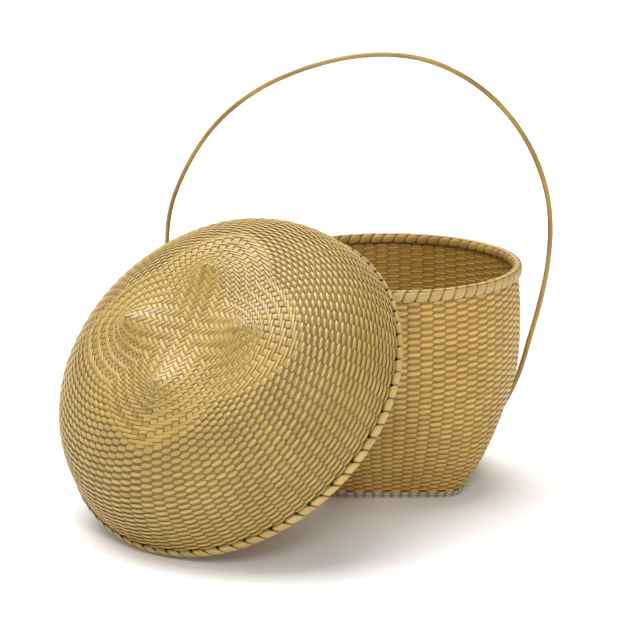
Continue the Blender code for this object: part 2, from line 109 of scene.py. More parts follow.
def wall_place(turn, height, inward=SHEET_MIDDLE):
    """A point of the wall. Turn counts stakes round from the right side's first.

    At a height the section is |x|^p + |y|^p = w^p. Its power p falls from 7.5 at the base to 2 where
    the wall is round, and its half width w is a smooth curve of the height. The stakes keep even
    gaps along a side of the square below, and even angles round the circle above.
    """
    square = wall_squareness(height)
    power = ROUND_POWER + (BASE_POWER - ROUND_POWER) * square
    side = np.floor(turn / STAKES_A_SIDE)
    t = 2 * (turn / STAKES_A_SIDE - side) - 1
    angle = side * math.pi / 2 + square * np.arctan(t) + (1 - square) * t * math.pi / 4
    reach = (np.abs(np.cos(angle)) ** power + np.abs(np.sin(angle)) ** power) ** (-1 / power)
    radius = (wall_half_width(height) - inward) * reach
    level = np.broadcast_to(height, radius.shape)
    return np.stack([radius * np.cos(angle), radius * np.sin(angle), level], axis=-1)


def unit(vectors):
    """Each vector divided by its own length."""
    return vectors / np.linalg.norm(vectors, axis=-1, keepdims=True)


# Across and outward shares of a flat strand's six corners: two broad faces and two thin edges
STRAND_CORNERS = np.array(
    [(-0.5, 0.0), (-0.3, 0.5), (0.3, 0.5), (0.5, 0.0), (0.3, -0.5), (-0.3, -0.5)]
)
# How each corner takes its strand's lift, which sets its painted shade: the outer face as it is, the
# inner face the other way
FACING = np.array([0.0, 1.0, 1.0, 0.0, -1.0, -1.0])
EDGE_LIFT = 0.4


def strand_points(centre, across, thickness, closed, flatness=1.0):
    """The corners of flat strands on their centre lines, as (strand, step, corner, xyz).

    Each corner is the centre, plus its share of the across vector, plus its share of the thickness
    along the outward normal, which is square to the strand's run and to its width. Flatness widens
    the two faces.
    """
    if closed:
        run = np.roll(centre, -1, axis=1) - np.roll(centre, 1, axis=1)
    else:
        run = np.gradient(centre, axis=1)
    out = unit(np.cross(run, across)) * thickness
    wide, high = STRAND_CORNERS.T
    wide = np.where(high == 0.0, wide, wide * flatness)
    wide, high = wide[:, None], high[:, None]
    return centre[:, :, None] + wide * across[:, :, None] + high * out[:, :, None]


def faced(lift):
    """The lift of each corner of flat strands, which sets its painted shade: a face is clear, 1, where it
    is on the strand's proud side and sunk, -1, on the other, and the thin edges lie between."""
    lift = np.asarray(lift)[..., None]
    return lift * FACING + EDGE_LIFT * np.abs(lift) * (FACING == 0.0)


def strand_map(points, spans, tone):
    """(u, v) of the four corners of each quad, as (strand, span, side, corner, uv).

    In metres, u is the length along a strand's centre line and v the length round its section, which
    carries on from strand to strand. The strand's tone moves u, so that no two look alike.
    """
    strands, _, sides = points.shape[:3]
    middle = points.mean(axis=2)
    stretch = np.linalg.norm(np.roll(middle, -1, axis=1) - middle, axis=-1)
    along = np.concatenate([np.zeros((strands, 1)), np.cumsum(stretch, axis=1)], axis=1)
    edge = np.linalg.norm(np.roll(points, -1, axis=2) - points, axis=-1).mean(axis=(0, 1))
    around = np.concatenate([[0.0], np.cumsum(edge)])
    near, far = along[:, :spans, None], along[:, 1:spans + 1, None]
    low, high = around[:-1], around[1:]
    shape = (strands, spans, sides, 4)
    u = np.broadcast_to(np.stack([near, far, far, near], axis=-1), shape)
    v = np.broadcast_to(np.stack([low, low, high, high], axis=-1), shape)
    u = u + tone[:, None, None, None]
    v = v + np.arange(strands)[:, None, None, None] * around[-1]
    return np.stack([u, v], axis=-1)


def strand_piece(name, points, lift, material, closed, seed, tone_shift=0.0):
    """One mesh of many strands. Quads join each section to the next, and caps close open strands.

    The map "strand" is strand_map's. The attribute "tone" is one random share for each strand, and its
    shift, which on the lid's warps is a painted sheen. "lift" says how far a corner is clear of the
    strands beside it, from -1 to 1, and so how much painted shade darkens it.
    """
    strands, steps, corners = points.shape[:3]
    index = np.arange(strands * steps * corners).reshape(strands, steps, corners)
    spans = steps if closed else steps - 1
    here = index[:, :spans]
    ahead = np.roll(index, -1, axis=1)[:, :spans]
    quads = [here, ahead, np.roll(ahead, -1, axis=2), np.roll(here, -1, axis=2)]
    quads = np.stack(quads, axis=-1)
    tone = np.random.default_rng(seed).random(strands)
    loops, starts = [quads.reshape(-1)], [np.arange(quads.size // 4) * 4]
    maps = [strand_map(points, spans, tone).reshape(-1, 2)]
    if not closed:
        ends = np.concatenate([index[:, 0], index[:, -1, ::-1]])
        loops.append(ends.reshape(-1))
        starts.append(quads.size + np.arange(len(ends)) * corners)
        maps.append(np.zeros((ends.size, 2)))
    loops, starts, maps = np.concatenate(loops), np.concatenate(starts), np.concatenate(maps)
    mesh = bpy.data.meshes.new(name)
    mesh.vertices.add(index.size)
    mesh.vertices.foreach_set("co", points.reshape(-1).astype(np.float32))
    mesh.loops.add(len(loops))
    mesh.loops.foreach_set("vertex_index", loops.astype(np.int32))
    mesh.polygons.add(len(starts))
    mesh.polygons.foreach_set("loop_start", starts.astype(np.int32))
    mesh.update(calc_edges=True)
    uv_layer = mesh.uv_layers.new(name="strand")
    uv_layer.data.foreach_set("uv", maps.reshape(-1).astype(np.float32))
    tones = np.broadcast_to((tone[:, None] + tone_shift)[..., None], index.shape)
    lifts = np.broadcast_to(lift, index.shape)
    for label, values in (("tone", tones), ("lift", lifts)):
        layer = mesh.attributes.new(label, "FLOAT", "POINT")
        layer.data.foreach_set("value", values.reshape(-1).astype(np.float32))
    mesh.shade_smooth()
    mesh.materials.append(material)
    item = bpy.data.objects.new(name, mesh)
    bpy.context.scene.collection.objects.link(item)
    return item


def feed(node, sockets):
    """Feed a node's sockets: each with a value, or with the output that is linked to it."""
    for key, value in dict(sockets).items():
        if isinstance(value, bpy.types.NodeSocket):
            node.id_data.links.new(value, node.inputs[key])
        else:
            node.inputs[key].default_value = value
    return node


def add_node(tree, kind, sockets=(), **settings):
    """A new node in a tree, with its settings, and its sockets fed."""
    node = tree.nodes.new(kind)
    for key, value in settings.items():
        setattr(node, key, value)
    return feed(node, sockets)


# Fibres of split wood, along and across the strand, and the blotches of the dry skin, a metre
FIBRES = (70.0, 2600.0, 1.0)
BLOTCHES = 16.0
# Shares of the way from pale to deep that fibres, strand and blotch give, and what is taken off
FIBRE_SHADE = 0.75
STRAND_SHADE = 0.34
BLOTCH_SHADE = 0.90
SHADE_OFF = 0.72
# Lifts at which a strand is quite clear and quite sunk, and the painted shade of one that is sunk
CLEAR_LIFT = 0.50
SUNK_LIFT = -0.60
SUNK_SHADE = 0.85
# Roughness of the skin, and what the fibres add, and what is added where the strand is sunk
SKIN_ROUGHNESS = 0.22
FIBRE_ROUGHNESS = 0.22
SUNK_ROUGHNESS = 0.45
FIBRE_DEPTH = 0.00004


def splint_material(name, pale, deep, crevice_shade, gloss=0.5):
    """Dry split wood. Noise drawn out along the strand gives its fibres, and each strand has a tone of
    its own. Where it dips under its neighbours, its colour is darkened with painted shade toward the
    crevice shade, and its gloss goes."""
    material = bpy.data.materials.new(name)
    material.use_nodes = True
    tree = material.node_tree

    def worked_out(operation, first, second):
        """The output of a sum, a difference or a product."""
        node = add_node(tree, "ShaderNodeMath", {0: first, 1: second}, operation=operation)
        return node.outputs[0]

    def blended(share, first, second):
        """The output of a blend of two colours."""
        sockets = {"Factor": share, "A": first, "B": second}
        return add_node(tree, "ShaderNodeMix", sockets, data_type="RGBA").outputs["Result"]

    where = add_node(tree, "ShaderNodeUVMap", uv_map="strand").outputs["UV"]
    drawn = add_node(tree, "ShaderNodeMapping", {"Vector": where, "Scale": FIBRES})
    grain = {"Vector": drawn.outputs["Vector"], "Scale": 1.0, "Detail": 4.0, "Roughness": 0.65}
    fibres = add_node(tree, "ShaderNodeTexNoise", grain).outputs["Fac"]
    place = add_node(tree, "ShaderNodeTexCoord").outputs["Object"]
    patches = {"Vector": place, "Scale": BLOTCHES, "Detail": 4.0, "Roughness": 0.6}
    blotch = add_node(tree, "ShaderNodeTexNoise", patches).outputs["Fac"]
    tone = add_node(tree, "ShaderNodeAttribute", attribute_name="tone").outputs["Fac"]
    lift = add_node(tree, "ShaderNodeAttribute", attribute_name="lift").outputs["Fac"]
    shade = worked_out("MULTIPLY", fibres, FIBRE_SHADE)
    shade = worked_out("ADD", shade, worked_out("MULTIPLY", tone, STRAND_SHADE))
    shade = worked_out("ADD", shade, worked_out("MULTIPLY", blotch, BLOTCH_SHADE))
    shade = worked_out("SUBTRACT", shade, SHADE_OFF)
    wood = blended(shade, (*pale, 1.0), (*deep, 1.0))
    # The sunk share paints shade: it darkens the colour toward the crevice shade and raises the roughness
    dip = {"Value": lift, "From Min": CLEAR_LIFT, "From Max": SUNK_LIFT}
    sunk = add_node(tree, "ShaderNodeMapRange", dip).outputs["Result"]
    colour = blended(worked_out("MULTIPLY", sunk, SUNK_SHADE), wood, (*crevice_shade, 1.0))
    worn = worked_out("ADD", worked_out("MULTIPLY", fibres, FIBRE_ROUGHNESS), SKIN_ROUGHNESS)
    worn = worked_out("ADD", worn, worked_out("MULTIPLY", sunk, SUNK_ROUGHNESS))
    relief = {"Height": fibres, "Strength": 0.8, "Distance": FIBRE_DEPTH}
    bump = add_node(tree, "ShaderNodeBump", relief).outputs["Normal"]
    feed(tree.nodes["Principled BSDF"], {
        "Base Color": colour, "Roughness": worn, "Normal": bump, "Specular IOR Level": gloss,
    })
    return material


wall_splint = splint_material(
    "wall_splint", pale=(0.69, 0.44, 0.100), deep=(0.35, 0.185, 0.020), crevice_shade=(0.09, 0.040, 0.003),
    gloss=0.6,
)
WALL_STEPS = 72
# Lift of the stakes under the twining at the fold, between the wall's weavers, and in the base, which
# sets their painted shade
FOLD_HEIGHT = 0.0085
FOLD_LIFT = -0.9
WALL_STAKE_LIFT = -0.22
BASE_STAKE_LIFT = 0.5
stake_heights = np.linspace(STAKE_TOP, SHEET_MIDDLE, WALL_STEPS)


def stake_lines(turns):
    """Lines down the wall at the given turns, from the stakes' top ends to the base's edge."""
    return wall_place(np.repeat(turns[:, None], WALL_STEPS, 1), stake_heights[None])


half_stake = STAKE_WIDTH_SHARE / 2
strips = np.arange(STAKES_A_SIDE)
# On the base a stake has two points for each one that it crosses, and its weave is flat at the edges
base_run = np.linspace(1.0, -1.0, 2 * STAKES_A_SIDE + 3)[1:-1]
base_share = (base_run[None, :, None] + 1) / 2
crossing = np.arange(len(base_run)) // 2
wall_lifts = np.where(stake_heights < FOLD_HEIGHT, FOLD_LIFT, WALL_STAKE_LIFT)
wall_lifts = np.broadcast_to(wall_lifts, (STAKES_A_SIDE, WALL_STEPS))
stake_centres, stake_across, stake_lift = [], [], []
for family in (0, 1):
    down_turns = STAKES_A_SIDE * family + strips + 0.5
    up_turns = STAKES_A_SIDE * (family + 3) - strips - 0.5
    down, up = stake_lines(down_turns), stake_lines(up_turns)
    down_wide = stake_lines(down_turns + half_stake) - stake_lines(down_turns - half_stake)
    up_wide = stake_lines(up_turns - half_stake) - stake_lines(up_turns + half_stake)
    base_line = down[:, -1:] * base_share + up[:, -1:] * (1 - base_share)
    base_wide = down_wide[:, -1:] * base_share + up_wide[:, -1:] * (1 - base_share)
    weave = np.where((strips[:, None] + crossing[None] + family) % 2 == 0, -1.0, 1.0)
    weave[:, (0, -1)] = 0.0
    base_line[..., 2] += BASE_SWAY * weave
    stake_centres.append(np.concatenate([down, base_line, up[:, ::-1]], axis=1))
    stake_across.append(np.concatenate([down_wide, base_wide, up_wide[:, ::-1]], axis=1))
    base_lifts = -weave * BASE_STAKE_LIFT
    stake_lift.append(np.concatenate([wall_lifts, base_lifts, wall_lifts[:, ::-1]], axis=1))
stake_points = strand_points(
    np.concatenate(stake_centres), np.concatenate(stake_across), STAKE_THICKNESS, closed=False
)
stake_faces = faced(np.concatenate(stake_lift))
stakes = strand_piece("basket_stakes", stake_points, stake_faces, wall_splint, closed=False, seed=11)
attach(stakes, "basket")
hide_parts("base_panel")


# The wall is filled with about seventy rounds of narrow weaver, plain weave, beaten down hard. Each
# round goes outside one stake and inside the next, and bulges where it is outside.
WEAVER_THICKNESS = 0.0011
WEAVER_PITCH = 0.0033
WEAVER_SWAY = 0.00090
WEAVER_SLANT = 0.00035
WEAVER_SWELL = 0.36
WEAVER_BEND = 0.62
WEAVER_FOOT = 0.0072
WEAVER_TOP = 0.2300
CLIMB_STEPS = 800
CROSSING_STEPS = 4
# Rounds in the lower of the wall's two pieces, since one piece of them all has too many faces
LOW_ROUNDS = 38


def plain_weave(rounds, stakes_round):
    """1 where a round passes over a stake, which is where their two numbers add up to an even one, and -1
    where it passes under."""
    return np.where(np.add.outer(np.arange(rounds), np.arange(stakes_round)) % 2 == 0, 1.0, -1.0)


def woven_lift(sign, bend_share, closed=True):
    """A strand's lift through its crossings, as (strand, crossing * steps).

    It keeps each crossing's sign over the stake, and goes over to the next crossing's sign by a smooth
    step, 3x^2 - 2x^3, within the bend share of the pitch round the gap's middle.
    """
    phase = (np.arange(CROSSING_STEPS) + 0.5) / CROSSING_STEPS - 0.5
    x = np.clip((np.abs(phase) - 0.5) / bend_share + 0.5, 0.0, 1.0)
    blend = 3 * x**2 - 2 * x**3
    around = np.pad(sign, ((0, 0), (1, 1)), mode="wrap" if closed else "edge")
    beside = np.where(phase > 0, around[:, 2:, None], around[:, :-2, None])
    return (sign[..., None] * (1 - blend) + beside * blend).reshape(len(sign), -1)


def woven_slant(sign):
    """How far a closed strand leans up or down its row, -1 to 1: at each gap it is half the drop in
    sign across that gap, and it runs straight between gaps."""
    share = (np.arange(CROSSING_STEPS) + 0.5) / CROSSING_STEPS
    before = (np.roll(sign, 1, axis=1) - sign)[..., None] / 2
    after = (sign - np.roll(sign, -1, axis=1))[..., None] / 2
    return (before * (1 - share) + after * share).reshape(len(sign), -1)


def wall_rounds(level, outward, half_wide):
    """The corners of closed weavers on the wall, from their level at each step round, how far they
    lie out from the middle of the sheet, and half their width."""
    turn = (np.arange(STAKES * CROSSING_STEPS) + 0.5) / CROSSING_STEPS
    turn = np.broadcast_to(turn, level.shape)
    centre = wall_place(turn, level, SHEET_MIDDLE - outward)
    across = wall_place(turn, level + half_wide) - wall_place(turn, level - half_wide)
    return strand_points(centre, across, WEAVER_THICKNESS, closed=True)


climb_heights = np.linspace(WEAVER_FOOT, WEAVER_TOP, CLIMB_STEPS)
climb_steps = np.hypot(np.diff(climb_heights), np.diff(wall_half_width(climb_heights)))
climb = np.concatenate([[0.0], np.cumsum(climb_steps)])
rounds = int(climb[-1] / WEAVER_PITCH)
row_edges = np.interp(np.linspace(0.0, climb[-1], rounds + 1), climb, climb_heights)
row_middle = (row_edges[1:] + row_edges[:-1]) / 2
wall_sign = plain_weave(rounds, STAKES)
wall_lift = woven_lift(wall_sign, WEAVER_BEND)
wall_level = row_middle[:, None] + WEAVER_SLANT * woven_slant(wall_sign)
half_row = np.diff(row_edges)[:, None] * (1 + WEAVER_SWELL * wall_lift) / 2
wall_points = wall_rounds(wall_level, WEAVER_SWAY * wall_lift, half_row)
wall_faces = faced(wall_lift)
low_weavers = strand_piece(
    "basket_low_weavers", wall_points[:LOW_ROUNDS], wall_faces[:LOW_ROUNDS], wall_splint,
    closed=True, seed=12,
)
high_weavers = strand_piece(
    "basket_weavers", wall_points[LOW_ROUNDS:], wall_faces[LOW_ROUNDS:], wall_splint,
    closed=True, seed=17,
)
for weavers in (low_weavers, high_weavers):
    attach(weavers, "basket")
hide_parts("basket_wall")


# Three rounds of paired weavers are twined over the fold of the stakes. The two strands of a pair
# change places in every gap, so that each stake shows a short pale stitch.
TWINING_ROWS = (0.0014, 0.0038, 0.0062)
TWINING_WIDTH = 0.0016
TWINING_SWAY = 0.00085
TWINING_SLANT = 0.0004
TWINING_BEND = 0.7
# How far the twining's lift is lowered, which darkens all of it with painted shade
TWINING_SHADE_DROP = 0.6
twining_splint = splint_material(
    "twining_splint", pale=(0.95, 0.86, 0.66), deep=(0.66, 0.50, 0.28), crevice_shade=(0.05, 0.024, 0.004)
)
pair_sign = plain_weave(2 * len(TWINING_ROWS), STAKES)
pair_lift = woven_lift(pair_sign, TWINING_BEND)
pair_level = np.repeat(TWINING_ROWS, 2)[:, None] + TWINING_SLANT * woven_slant(pair_sign)
pair_points = wall_rounds(pair_level, TWINING_SWAY * pair_lift, TWINING_WIDTH / 2)
pair_faces = faced(pair_lift) - TWINING_SHADE_DROP
edge_twining = strand_piece(
    "base_twining", pair_points, pair_faces, twining_splint, closed=True, seed=13
)
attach(edge_twining, "basket")
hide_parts("base_edge_twining")


# One flat splint is wound round both hoops of the rim, 64 turns. Each turn overlaps the one before,
# draws in where it goes through the wall under the hoops, and leans with the winding.
RIM_WRAPS = 64
RIM_OUTER = 0.1387
RIM_INNER = 0.1291
LASHING_TOP = 0.2386
LASHING_LOW = 0.2256
LASHING_INNER_LOW = 0.2279
LASHING_THICKNESS = 0.0009
LOOP_STEPS = 32
LOOP_POWER = 2.6
WRAP_OVERLAP = 0.06
# Where in its turn a wrap begins and ends its lean: it goes back to its start under the hoops
LEAN_FROM = 0.10
LEAN_TO = 0.90
# How suddenly a wrap narrows under the hoops, and how much painted shade darkens it there
DRAWN_POWER = 2.5
DRAWN_SHADE = 1.6
# Shares of the thickness by which a wrap's free edge is raised, and its middle is arched
WRAP_TUCK = 0.55
WRAP_ARCH = 0.25
# Lift of a wrap's corners, which sets their painted shade: one edge is tucked under the turn beside it
WRAP_FACING = np.array([-0.9, 1.0, 1.0, 0.2, 0.0, 0.0])
lashing_splint = splint_material(
    "lashing_splint", pale=(0.58, 0.40, 0.125), deep=(0.33, 0.19, 0.036), crevice_shade=(0.04, 0.02, 0.003)
)


def wound_rim(wraps, outer, inner, top, outer_low, inner_low, thickness, lean, pinch):
    """The corners of one flat splint wound round a ring, as (1, step, corner, xyz) about Z, and the lift
    of each corner, which sets its painted shade.

    Its centre line is a rounded box, a superellipse of power 2.6, carried round the ring one turn for
    each wrap. Its width is the pitch and an overlap, less the pinch at the bottom. One edge is raised
    to lie on the turn beside it.
    """
    wound = np.arange(wraps * LOOP_STEPS) / LOOP_STEPS
    phi = 2 * math.pi * wound - math.pi / 2
    cos, sin = np.cos(phi), np.sin(phi)
    low = np.where(cos > 0, outer_low, inner_low)
    half_wide = (outer - inner - thickness) / 2
    half_high = (top - thickness - low) / 2
    radius = (outer + inner) / 2 + half_wide * np.sign(cos) * np.abs(cos) ** (2 / LOOP_POWER)
    level = (top + low) / 2 + half_high * np.sign(sin) * np.abs(sin) ** (2 / LOOP_POWER)
    drawn_in = np.clip(-sin, 0.0, 1.0) ** DRAWN_POWER
    wide, high = STRAND_CORNERS.T
    bulge = thickness * (high + WRAP_TUCK * wide + WRAP_ARCH * (1 - (2 * wide) ** 2))
    run = np.stack([np.gradient(radius), np.gradient(level)], axis=-1)
    normal = unit(np.stack([run[:, 1], -run[:, 0]], axis=-1))
    out_radius = radius[:, None] + bulge * normal[:, :1]
    out_level = level[:, None] + bulge * normal[:, 1:]
    leaned = lean * np.interp(wound % 1.0, (0.0, LEAN_FROM, LEAN_TO, 1.0), (0.0, -0.5, 0.5, 0.0))
    share = (1 + WRAP_OVERLAP) * (1 - pinch * drawn_in)
    angle = ((wound + leaned)[:, None] + share[:, None] * wide) * 2 * math.pi / wraps
    points = [out_radius * np.cos(angle), out_radius * np.sin(angle), out_level]
    lift = (1 - DRAWN_SHADE * drawn_in)[:, None] * WRAP_FACING
    return np.stack(points, axis=-1)[None], lift[None]


def wrap_tones(wraps, seed):
    """A tone of its own for each turn of a wound splint, kept all round that turn."""
    return np.repeat(np.random.default_rng(seed).uniform(-0.5, 0.5, wraps), LOOP_STEPS)[None]


rim_points, rim_lift = wound_rim(
    RIM_WRAPS, RIM_OUTER, RIM_INNER, LASHING_TOP, LASHING_LOW, LASHING_INNER_LOW, LASHING_THICKNESS,
    lean=0.42, pinch=0.50,
)
rim_tones = wrap_tones(RIM_WRAPS, seed=31)
rim_winding = strand_piece(
    "rim_winding", rim_points, rim_lift, lashing_splint, closed=True, seed=14, tone_shift=rim_tones
)
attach(rim_winding, "basket")
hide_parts("rim_lashing")


# The handle is one long cane, thicker at its right foot, bent in a lopsided hoop. Its skin is smooth
# and brown, with faint joints, and both its legs run down outside the wall.
HANDLE_RADIUS_RIGHT = 0.0029
HANDLE_RADIUS_LEFT = 0.0021
HANDLE_SETBACK = 0.0100
HANDLE_TOP = 0.4561
RIGHT_REACH = 0.0312
LEFT_REACH = 0.1000
LEG_TOUCH_HEIGHT = 0.0675
LEG_FOOT_HEIGHT = 0.0240
LEG_STEPS = 5
# The gap left between the cane and the wall, and the step over which the wall's slope is taken
FIT = 0.0003
HANDLE_STEPS = 420
HANDLE_SIDES = 14
# Share of the leg's reach away from the wall, height share from leg touch to top
RIGHT_LEG = (
    (0.060, 0.041), (0.120, 0.092), (0.310, 0.220), (0.640, 0.323), (0.936, 0.424), (0.994, 0.525),
)
LEFT_LEG = (
    (0.014, 0.057), (0.104, 0.135), (0.378, 0.213), (0.721, 0.293), (0.945, 0.385), (1.000, 0.491),
)
# Across share of the bow's half width from its own middle, height share from leg touch to top
BOW = (
    (0.988, 0.592), (0.958, 0.658), (0.876, 0.757), (0.815, 0.807), (0.647, 0.901), (0.481, 0.957),
    (0.316, 0.989), (0.152, 1.000), (-0.012, 0.996), (-0.176, 0.979), (-0.340, 0.951), (-0.505, 0.910),
    (-0.654, 0.855), (-0.775, 0.790), (-0.861, 0.724), (-0.926, 0.658), (-0.973, 0.592),
)
# The cane's joints, as shares of its length, and how long and how proud one is
CANE_JOINTS = (0.118, 0.286, 0.452, 0.610, 0.742, 0.858)
JOINT_LENGTH = 0.0035
JOINT_SWELL = 0.05
# Unevenness of the cane's radius: its share, and the product of two waves, in radians a metre
CANE_UNEVEN = 0.02
CANE_WAVES = (61.0, 23.0)
# The cut ends are rounded over this length, from this share of the section
END_LENGTH = 0.0018
END_SHARE = 0.06
# Finer points for each one that a curve is to have, before they are spaced evenly
FINER = 12


def curve_through(points, count):
    """Evenly spaced points on a smooth curve through the given ones, read by chord length."""
    points = np.array(points, float)
    chords = np.linalg.norm(np.diff(points, axis=0), axis=1)
    along = np.concatenate([[0.0], np.cumsum(chords)])
    fine = np.linspace(0.0, along[-1], FINER * count)
    path = [smooth_value(fine, np.column_stack([along, axis])) for axis in points.T]
    path = np.stack(path, axis=1)
    run = np.concatenate([[0.0], np.cumsum(np.linalg.norm(np.diff(path, axis=0), axis=1))])
    even = np.linspace(0.0, run[-1], count)
    return np.stack([np.interp(even, run, axis) for axis in path.T], axis=1)


def leg_point(height, radius, side):
    """(x, z) of a leg's centre where it lies on the outside of the wall: the wall's half width at the
    handle's setback, and the leg's radius square to the wall's slope."""
    power = ROUND_POWER + (BASE_POWER - ROUND_POWER) * wall_squareness(height)
    width = (wall_half_width(height) ** power - HANDLE_SETBACK**power) ** (1 / power)
    slope = (wall_half_width(height + FIT) - wall_half_width(height - FIT)) / (2 * FIT)
    return side * (width + (radius + FIT) * math.sqrt(1 + slope**2)), float(height)


def bow_height(share):
    """The height that is a share of the way from where the legs leave the wall to the bow's top."""
    return LEG_TOUCH_HEIGHT + share * (HANDLE_TOP - LEG_TOUCH_HEIGHT)


def leg_curve(radius, side, reach, shares):
    """(x, z) points of a leg from its foot up: on the wall, then away from it to its full reach."""
    heights = np.linspace(LEG_FOOT_HEIGHT, LEG_TOUCH_HEIGHT, LEG_STEPS)
    points = [leg_point(height, radius, side) for height in heights]
    for out, up in shares:
        wall_x = leg_point(min(bow_height(up), RIM_FOOT), radius, side)[0]
        points.append((wall_x + side * out * reach, bow_height(up)))
    return points


# Streaks of the rind, along and across the cane, and the clouds of its brown, a metre
CANE_STREAKS = (26.0, 1500.0, 1.0)
CANE_CLOUDS = 17.0


def cane_material(name, pale, deep):
    """Smooth rind of cane: long streaks, a slow change of brown along it, and a soft gloss."""
    material = bpy.data.materials.new(name)
    material.use_nodes = True
    tree = material.node_tree
    where = add_node(tree, "ShaderNodeUVMap", uv_map="strand").outputs["UV"]
    drawn = add_node(tree, "ShaderNodeMapping", {"Vector": where, "Scale": CANE_STREAKS})
    streaks = {"Vector": drawn.outputs["Vector"], "Scale": 1.0, "Detail": 5.0}
    streak = add_node(tree, "ShaderNodeTexNoise", streaks).outputs["Fac"]
    place = add_node(tree, "ShaderNodeTexCoord").outputs["Object"]
    clouds = {"Vector": place, "Scale": CANE_CLOUDS, "Detail": 3.0}
    cloud = add_node(tree, "ShaderNodeTexNoise", clouds).outputs["Fac"]
    both = add_node(tree, "ShaderNodeMath", {0: streak, 1: cloud}, operation="ADD").outputs[0]
    spread = {"Value": both, "From Min": 0.75, "From Max": 1.30}
    share = add_node(tree, "ShaderNodeMapRange", spread).outputs["Result"]
    browns = {"Factor": share, "A": (*deep, 1.0), "B": (*pale, 1.0)}
    brown = add_node(tree, "ShaderNodeMix", browns, data_type="RGBA").outputs["Result"]
    worn = {"Value": streak, "To Min": 0.26, "To Max": 0.46}
    rough = add_node(tree, "ShaderNodeMapRange", worn).outputs["Result"]
    relief = {"Height": streak, "Strength": 0.5, "Distance": 0.00008}
    bump = add_node(tree, "ShaderNodeBump", relief).outputs["Normal"]
    feed(tree.nodes["Principled BSDF"], {
        "Base Color": brown, "Roughness": rough, "Normal": bump,
        "Coat Weight": 0.15, "Coat Roughness": 0.25,
    })
    return material


right_end = leg_point(RIM_FOOT, HANDLE_RADIUS_RIGHT, 1)[0] + RIGHT_REACH
left_end = leg_point(RIM_FOOT, HANDLE_RADIUS_LEFT, -1)[0] - LEFT_REACH
bow_middle, bow_half = (right_end + left_end) / 2, (right_end - left_end) / 2
bow_points = [(bow_middle + x * bow_half, bow_height(z)) for x, z in BOW]
right_leg = leg_curve(HANDLE_RADIUS_RIGHT, 1, RIGHT_REACH, RIGHT_LEG)
left_leg = leg_curve(HANDLE_RADIUS_LEFT, -1, LEFT_REACH, LEFT_LEG)
cane_x, cane_z = curve_through(right_leg + bow_points + left_leg[::-1], HANDLE_STEPS).T
cane_path = np.stack([cane_x, np.full(HANDLE_STEPS, HANDLE_SETBACK), cane_z], axis=1)
cane_length = np.linalg.norm(np.diff(cane_path, axis=0), axis=1).sum()
cane_run = np.linspace(0.0, cane_length, HANDLE_STEPS)
joints = sum(np.exp(-(((cane_run - at * cane_length) / JOINT_LENGTH) ** 2)) for at in CANE_JOINTS)
uneven = CANE_UNEVEN * np.sin(cane_run * CANE_WAVES[0]) * np.sin(cane_run * CANE_WAVES[1])
end_gap = np.minimum(cane_run, cane_length - cane_run)
cane_radius = np.linspace(HANDLE_RADIUS_RIGHT, HANDLE_RADIUS_LEFT, HANDLE_STEPS)
cane_radius = cane_radius * (1 + JOINT_SWELL * joints + uneven)
cane_radius = cane_radius * np.sqrt(np.clip(end_gap / END_LENGTH, END_SHARE, 1.0))
cane_back = np.array([0.0, 1.0, 0.0])
cane_side = np.cross(unit(np.gradient(cane_path, axis=0)), cane_back)
cane_turn = (np.arange(HANDLE_SIDES) * 2 * math.pi / HANDLE_SIDES)[None, :, None]
cane_ring = np.cos(cane_turn) * cane_side[:, None] - np.sin(cane_turn) * cane_back
cane_points = (cane_path[:, None] + cane_radius[:, None, None] * cane_ring)[None]
handle_cane = cane_material("handle_cane", pale=(0.50, 0.325, 0.085), deep=(0.25, 0.140, 0.022))
cane_handle = strand_piece("cane_handle", cane_points, 0.0, handle_cane, closed=False, seed=15)
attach(cane_handle, "basket")
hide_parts("handle_bow")


# Each leg is tied to the wall at two heights with a narrow splint, which goes twice round the cane and
# back through the wall on both sides of it.
TIE_UPPER_HEIGHT = 0.0580
TIE_LOWER_HEIGHT = 0.0340
TIES = (
    ("tie_right_upper", "handle_tie_right_upper", TIE_UPPER_HEIGHT, 1, HANDLE_RADIUS_RIGHT),
    ("tie_right_lower", "handle_tie_right_lower", TIE_LOWER_HEIGHT, 1, HANDLE_RADIUS_RIGHT),
    ("tie_left_upper", "handle_tie_left_upper", TIE_UPPER_HEIGHT, -1, HANDLE_RADIUS_LEFT),
    ("tie_left_lower", "handle_tie_left_lower", TIE_LOWER_HEIGHT, -1, HANDLE_RADIUS_LEFT),
)
TIE_TURNS = 2
TIE_STEPS = 28
TIE_WIDTH = 0.0028
TIE_THICKNESS = 0.0007
TIE_LIFT = 0.5
# Half the stretch of leg that a tie takes its slope from, and how far its turns climb the leg
TIE_HALF_HEIGHT = 0.0025
TIE_SPREAD = 0.0027
